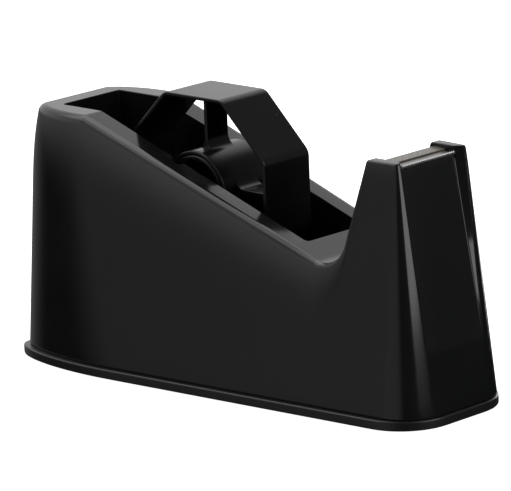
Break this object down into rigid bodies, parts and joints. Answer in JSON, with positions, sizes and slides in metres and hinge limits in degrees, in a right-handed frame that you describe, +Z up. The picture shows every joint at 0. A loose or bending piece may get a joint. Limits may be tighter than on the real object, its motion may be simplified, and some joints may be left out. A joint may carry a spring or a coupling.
{
  "type": "tape dispenser",
  "caption": "Weighted desk tape dispenser: deep roll well in a drafted body, toothed cutter on a front tower, and a lift-out hub with an eight-sided adapter for wide-core rolls.",
  "frame": {"origin": "on the table, under the middle of the footprint", "axes": "+X towards the cutter along the length, +Y across the width, +Z up"},
  "size_m": [0.198, 0.076, 0.106],
  "materials": {
    "body_shell": "moulded black plastic, polished outside",
    "base_plate": "moulded black plastic, fine matt grain",
    "non_slip_pad": "soft foam rubber sheet",
    "base_screws": "zinc-plated steel",
    "ballast": "cast mineral ballast, rough",
    "cutting_blade": "bright strip steel, bent and toothed",
    "tape_rest": "moulded black plastic",
    "axle": "turned steel rod",
    "small_core_hub": "moulded black plastic, satin",
    "large_core_adapter": "moulded black plastic, satin"
  },
  "bodies": {
    "body": {"body_shell": "body_shell", "base_plate": "base_plate", "non_slip_pad": "non_slip_pad", "base_screws": "base_screws", "floor_ballast": "ballast", "nose_ballast": "ballast", "cutting_blade": "cutting_blade", "tape_rest": "tape_rest"},
    "axle": {"axle": "axle"},
    "hub": {"small_core_hub": "small_core_hub", "large_core_adapter": "large_core_adapter"}
  },
  "joints": [
    {"name": "hub_lift_out", "type": "slide", "parent": "body", "child": "axle", "axis": [-0.4226, 0, 0.9063], "range_m": [0, 0.09]},
    {"name": "hub_spin", "type": "hinge", "parent": "axle", "child": "hub", "pos_m": [-0.0187, 0, 0.071], "axis": [0, 1, 0], "continuous": true}
  ]
}
